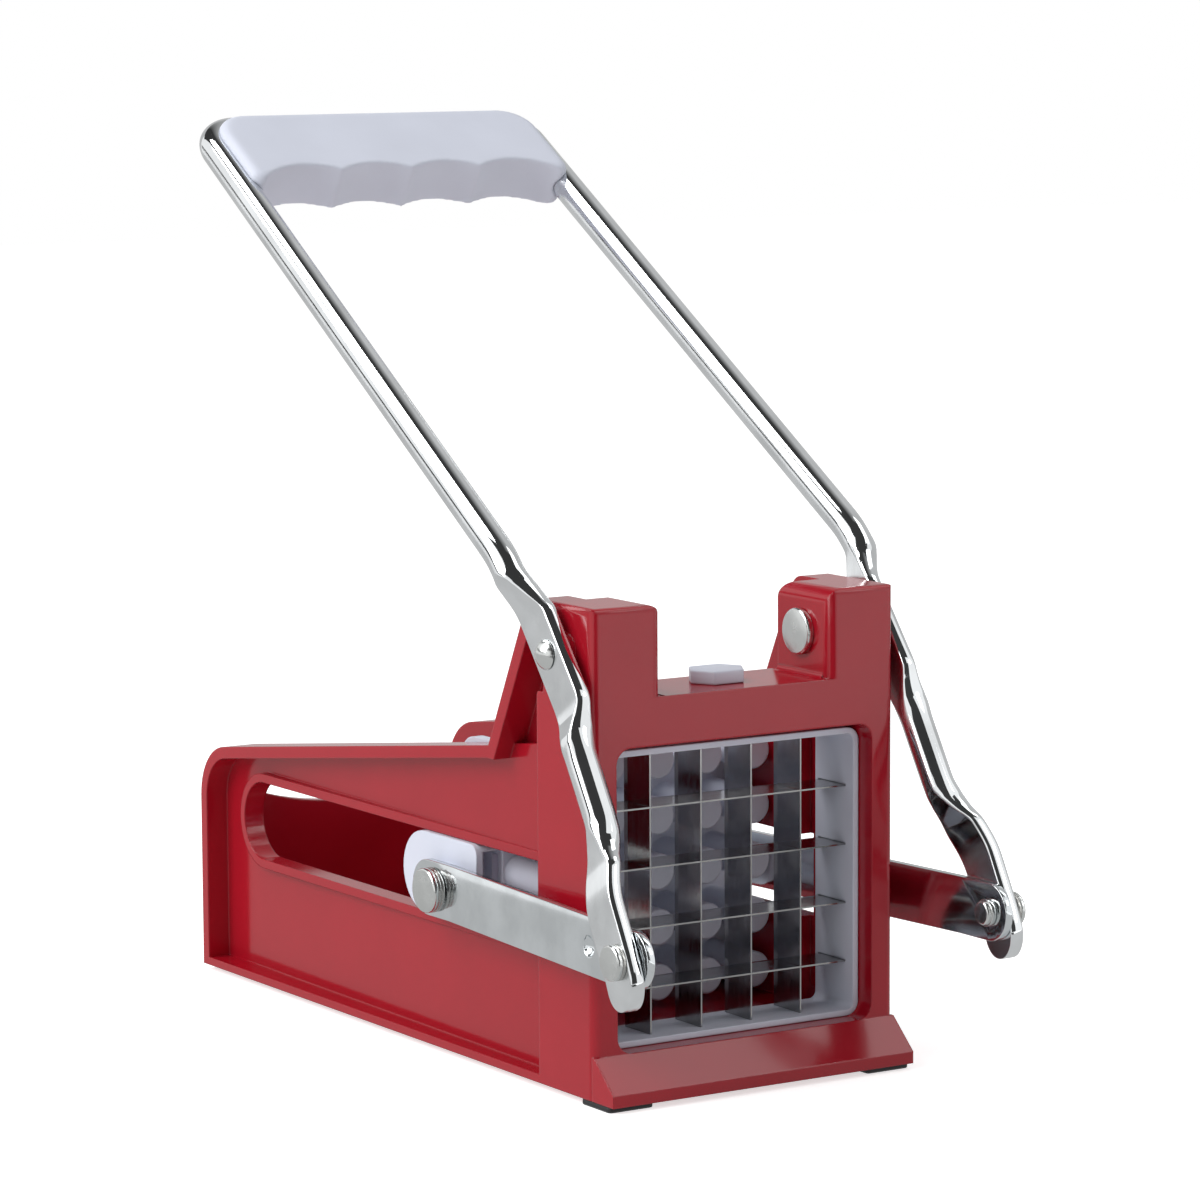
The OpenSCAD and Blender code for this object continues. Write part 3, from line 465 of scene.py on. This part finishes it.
def upper_rings():
    """round rings up the straight rod, round the corner's arc and along the cross bar to its
    middle, in the plane of the upper U, which the elbow tips back"""
    corner_tangent = CORNER * math.tan((math.pi / 2 - TOE) / 2)
    straight = UPPER_ARM / math.cos(TOE) - corner_tangent
    s = np.linspace(ELBOW_TANGENT + 0.6, straight, 60)
    centre = [np.array([HALF_ELBOW, 0.0]) + np.outer(s, [-math.sin(TOE), math.cos(TOE)])]
    out = [np.tile([math.cos(TOE), math.sin(TOE)], (len(s), 1))]
    turn = np.linspace(TOE, math.pi / 2, 20)[1:]
    spoke = np.stack([np.cos(turn), np.sin(turn)], axis=1)
    centre.append(np.array([HALF_TOP - corner_tangent, UPPER_ARM - CORNER]) + CORNER * spoke)
    out.append(spoke)
    bar = np.linspace(HALF_TOP - corner_tangent, 0, 12)[1:]
    centre.append(np.stack([bar, np.full_like(bar, UPPER_ARM)], axis=1))
    out.append(np.tile([0.0, 1.0], (len(bar), 1)))
    centre, out = np.concatenate(centre), np.concatenate(out)
    rod = np.array([ROD])
    across, forward = section(rod, rod)
    flat_u = centre[:, None, :] + across[0][None, :, None] * out[:, None, :]
    e = math.radians(ELBOW_ANGLE)
    return np.stack([flat_u[..., 0],
                     flat_u[..., 1] * math.sin(e) - forward[0] * math.cos(e),
                     ELBOW + flat_u[..., 1] * math.cos(e) + forward[0] * math.sin(e)], axis=2)


def lever_skin():
    """one tube along the whole U in metres: a leg, the upper rod to the middle of the cross bar
    and the same mirrored, leaned about the pivot and put in its place"""
    half = np.concatenate([leg_rings(), upper_rings()])
    rings = np.concatenate([half, half[-2::-1] * np.array([-1.0, 1.0, 1.0])])
    y = rings[..., 1] * math.cos(LEAN) + rings[..., 2] * math.sin(LEAN)
    z = -rings[..., 1] * math.sin(LEAN) + rings[..., 2] * math.cos(LEAN)
    return np.stack([rings[..., 0], y + PIVOT[0] - CENTRE_Y, z + PIVOT[1] + FOOT], axis=2) / 1000


def drill_mesh(holes):
    """what a drill takes away along X: a hole is (x0, x1, (depth, height), radius) in
    millimetres"""
    build = bmesh.new()
    for x0, x1, (depth, height), radius in holes:
        middle = ((x0 + x1) / 2000, (depth - CENTRE_Y) / 1000, (height + FOOT) / 1000)
        place = Matrix.Translation(middle) @ Matrix.Rotation(math.pi / 2, 4, "Y")
        bmesh.ops.create_cone(build, cap_ends=True, segments=48, radius1=radius / 1000,
                              radius2=radius / 1000, depth=(x1 - x0) / 1000, matrix=place)
    mesh = bpy.data.meshes.new("drill")
    build.to_mesh(mesh)
    build.free()
    return mesh


lever = bpy.data.objects.new("bent_lever", tube_mesh("bent_lever", lever_skin()))
cut_away(lever, drill_mesh([(TOWER_HALF, PIVOT_DRILL, PIVOT, PIVOT_HOLE),
                            (-PIVOT_DRILL, -TOWER_HALF, PIVOT, PIVOT_HOLE),
                            (TOWER_HALF, PIN_DRILL, PIN, PIN_HOLE),
                            (-PIN_DRILL, -TOWER_HALF, PIN, PIN_HOLE)]))
finished_piece(lever, "lever")


# ---- the grip ------------------------------------------------------------------------------

def soft_grip():
    """the grip's solid, remade on a fine even mesh and smoothed, so that its edges and the
    ridges between the finger scallops are round as a moulded grip's are"""
    piece = shaped("grip")
    piece.modifiers.clear()
    even = piece.modifiers.new("even", "REMESH")
    even.mode = "VOXEL"
    even.voxel_size = GRIP_MESH
    even.use_smooth_shade = True
    smooth = piece.modifiers.new("smooth", "SMOOTH")
    smooth.factor = 0.5
    smooth.iterations = GRIP_SMOOTHING


soft_grip()


# ---- floor and light -----------------------------------------------------------------------

# in metres: how far the floor reaches, the ceiling's height, and how high a card lies on the
# worktop
FLOOR_REACH, CEILING, ON_WORKTOP = 3.0, 1.6, 0.0004
# how brightly cards shine: the grey room, the dark ceiling and front, and darker ones
GREY, DARK, DARK_WORKTOP, DARK_LINE = 0.56, 0.045, 0.03, 0.02
# how strongly the even world and the floor's own glow light
WORLD_LIGHT, FLOOR_GLOW = 0.47, 0.62


def empty_tree(holder):
    """the node tree of a material or world, without its first nodes"""
    holder.use_nodes = True
    holder.node_tree.nodes.clear()
    return holder.node_tree


def plane(name, corners):
    """flat four-cornered card through the given corners"""
    mesh = bpy.data.meshes.new(name)
    mesh.from_pydata(corners, [], [(0, 1, 2, 3)])
    card = bpy.data.objects.new(name, mesh)
    scene.collection.objects.link(card)
    return card


def level_card(x0, x1, y0, y1, z):
    return [(x0, y0, z), (x1, y0, z), (x1, y1, z), (x0, y1, z)]


def seen_or_lit(tree, seen, lit):
    """mixes two shaders: the first for what the camera, metal and glass see, the second else"""
    paths = tree.nodes.new("ShaderNodeLightPath")
    share = paths.outputs["Is Camera Ray"]
    for kind in ("Is Glossy Ray", "Is Transmission Ray"):
        larger = tree.nodes.new("ShaderNodeMath")
        larger.operation = "MAXIMUM"
        tree.links.new(share, larger.inputs[0])
        tree.links.new(paths.outputs[kind], larger.inputs[1])
        share = larger.outputs[0]
    mix = tree.nodes.new("ShaderNodeMixShader")
    tree.links.new(share, mix.inputs[0])
    tree.links.new(lit, mix.inputs[1])
    tree.links.new(seen, mix.inputs[2])
    return mix.outputs[0]


def white_floor():
    """pale worktop: white where it is open, a little darker under the object"""
    floor = plane("floor", level_card(-FLOOR_REACH, FLOOR_REACH, -FLOOR_REACH, FLOOR_REACH, 0))
    material = bpy.data.materials.new("floor")
    tree = empty_tree(material)
    matt = tree.nodes.new("ShaderNodeBsdfDiffuse")
    matt.inputs["Color"].default_value = (0.9, 0.9, 0.9, 1)
    glow = tree.nodes.new("ShaderNodeEmission")
    glow.inputs["Strength"].default_value = FLOOR_GLOW
    both = tree.nodes.new("ShaderNodeAddShader")
    tree.links.new(matt.outputs[0], both.inputs[0])
    tree.links.new(glow.outputs[0], both.inputs[1])
    out = tree.nodes.new("ShaderNodeOutputMaterial")
    tree.links.new(seen_or_lit(tree, both.outputs[0], matt.outputs[0]), out.inputs["Surface"])
    floor.data.materials.append(material)


def white_world():
    """even white studio: 1 where it is seen, less where it lights"""
    world = bpy.data.worlds.new("studio")
    scene.world = world
    tree = empty_tree(world)
    shades = []
    for strength in (1.0, WORLD_LIGHT):
        shade = tree.nodes.new("ShaderNodeBackground")
        shade.inputs["Color"].default_value = (1, 1, 1, 1)
        shade.inputs["Strength"].default_value = strength
        shades.append(shade.outputs[0])
    out = tree.nodes.new("ShaderNodeOutputWorld")
    tree.links.new(seen_or_lit(tree, *shades), out.inputs["Surface"])


def lamp(name, place, target, size, power):
    """square soft lamp that looks at its target"""
    light = bpy.data.lights.new(name, "AREA")
    light.shape = "SQUARE"
    light.size = size
    light.energy = power
    holder = bpy.data.objects.new(name, light)
    holder.location = place
    holder.rotation_euler = (Vector(target) - Vector(place)).to_track_quat("-Z", "Y").to_euler()
    scene.collection.objects.link(holder)


def flag(name, corners, shade, fade=None):
    """studio card that only polished surfaces see: one shade, or a fade along X from the first
    shade to the second between the fade's two places"""
    card = plane(name, corners)
    material = bpy.data.materials.new(name)
    tree = empty_tree(material)
    glow = tree.nodes.new("ShaderNodeEmission")
    if fade:
        place = tree.nodes.new("ShaderNodeTexCoord")
        axes = tree.nodes.new("ShaderNodeSeparateXYZ")
        tree.links.new(place.outputs["Object"], axes.inputs[0])
        level = tree.nodes.new("ShaderNodeMapRange")
        for socket, value in zip(("From Min", "From Max", "To Min", "To Max"), (*fade, *shade)):
            level.inputs[socket].default_value = value
        tree.links.new(axes.outputs["X"], level.inputs["Value"])
        tree.links.new(level.outputs[0], glow.inputs["Strength"])
    else:
        glow.inputs["Strength"].default_value = shade
    out = tree.nodes.new("ShaderNodeOutputMaterial")
    tree.links.new(glow.outputs[0], out.inputs["Surface"])
    card.data.materials.append(material)
    card.visible_camera = card.visible_diffuse = card.visible_shadow = False
    card.visible_transmission = card.visible_volume_scatter = False


white_floor()
white_world()
# what polished surfaces see: the worktop and the room behind in grey, a dark ceiling that
# fades to the right, the dark line behind the worktop, the dark room in front, and a bright
# card overhead that the sloping lip shows
flag("worktop_flag", level_card(-3, 3, -0.4, 3, ON_WORKTOP), GREY)
flag("room_flag", [(1.7, -0.4, 0.0), (1.7, 3.0, 0.0), (1.7, 3.0, 2.6), (1.7, -0.4, 2.6)], GREY)
flag("rear_wall_flag", [(-0.6, 3.0, 0.0), (1.7, 3.0, 0.0), (1.7, 3.0, 2.6), (-0.6, 3.0, 2.6)], GREY)
flag("ceiling_flag", level_card(-0.9, 1.7, -0.3, 2.4, CEILING), (DARK, GREY), (0.15, 1.0))
flag("side_ceiling_flag", level_card(-2.8, 0.95, -1.1, -0.3, CEILING), DARK)
flag("front_ceiling_flag", level_card(-2.8, 0.2, -2.6, -1.1, CEILING), DARK)
flag("front_flag", [(-2.8, -2.6, 0.05), (0.7, -2.6, 0.05), (0.7, -2.6, 1.6), (-2.8, -2.6, 1.6)], DARK)
flag("front_worktop_flag", level_card(-1.0, 0.03, -1.6, -0.32, ON_WORKTOP), DARK_WORKTOP)
flag("line_flag", [(-3.2, 0.2, 0.48), (-3.2, 0.2, 0.80), (-1.0, 3.2, 0.80), (-1.0, 3.2, 0.48)], DARK_LINE)
flag("lip_flag", level_card(0.70, 1.45, -0.58, -0.05, CEILING - 0.01), 2.2)
# place, target, side in metres and power in watts
lamp("softbox", (-1.25, 0.25, 0.95), (0, 0, 0.1), 1.1, 15)
lamp("edge_light", (0.87, -1.10, 0.88), (0, 0, 0.08), 0.45, 2)
lamp("channel_light", (-0.45, 0.40, 1.5), (0, 0, 0.05), 0.5, 5)


# ---- camera --------------------------------------------------------------------------------

# the camera's place and what it looks at in metres, its roll in degrees and its focal length
# and sensor in millimetres
CAMERA_PLACE, CAMERA_TARGET = (-0.556395, -0.885831, 0.230279), (-0.036001, -0.069785, 0.105569)
CAMERA_ROLL, FOCAL_LENGTH, SENSOR = -0.302, 143.903, 36.0


def front_left_camera():
    """camera before the left corner, with its roll about the line that it looks along"""
    place = Vector(CAMERA_PLACE)
    look = (Vector(CAMERA_TARGET) - place).normalized()
    level = look.cross(Vector((0, 0, 1))).normalized()
    up = level.cross(look)
    roll = math.radians(CAMERA_ROLL)
    across = math.cos(roll) * level + math.sin(roll) * up
    upwards = -math.sin(roll) * level + math.cos(roll) * up
    lens = bpy.data.cameras.new("camera")
    lens.sensor_width = SENSOR
    lens.lens = FOCAL_LENGTH
    lens.clip_end = 20
    camera = bpy.data.objects.new("camera", lens)
    turn = Matrix((across, upwards, -look)).transposed()
    camera.matrix_world = Matrix.Translation(place) @ turn.to_4x4()
    scene.collection.objects.link(camera)
    scene.camera = camera


front_left_camera()
scene.view_settings.view_transform = "Standard"
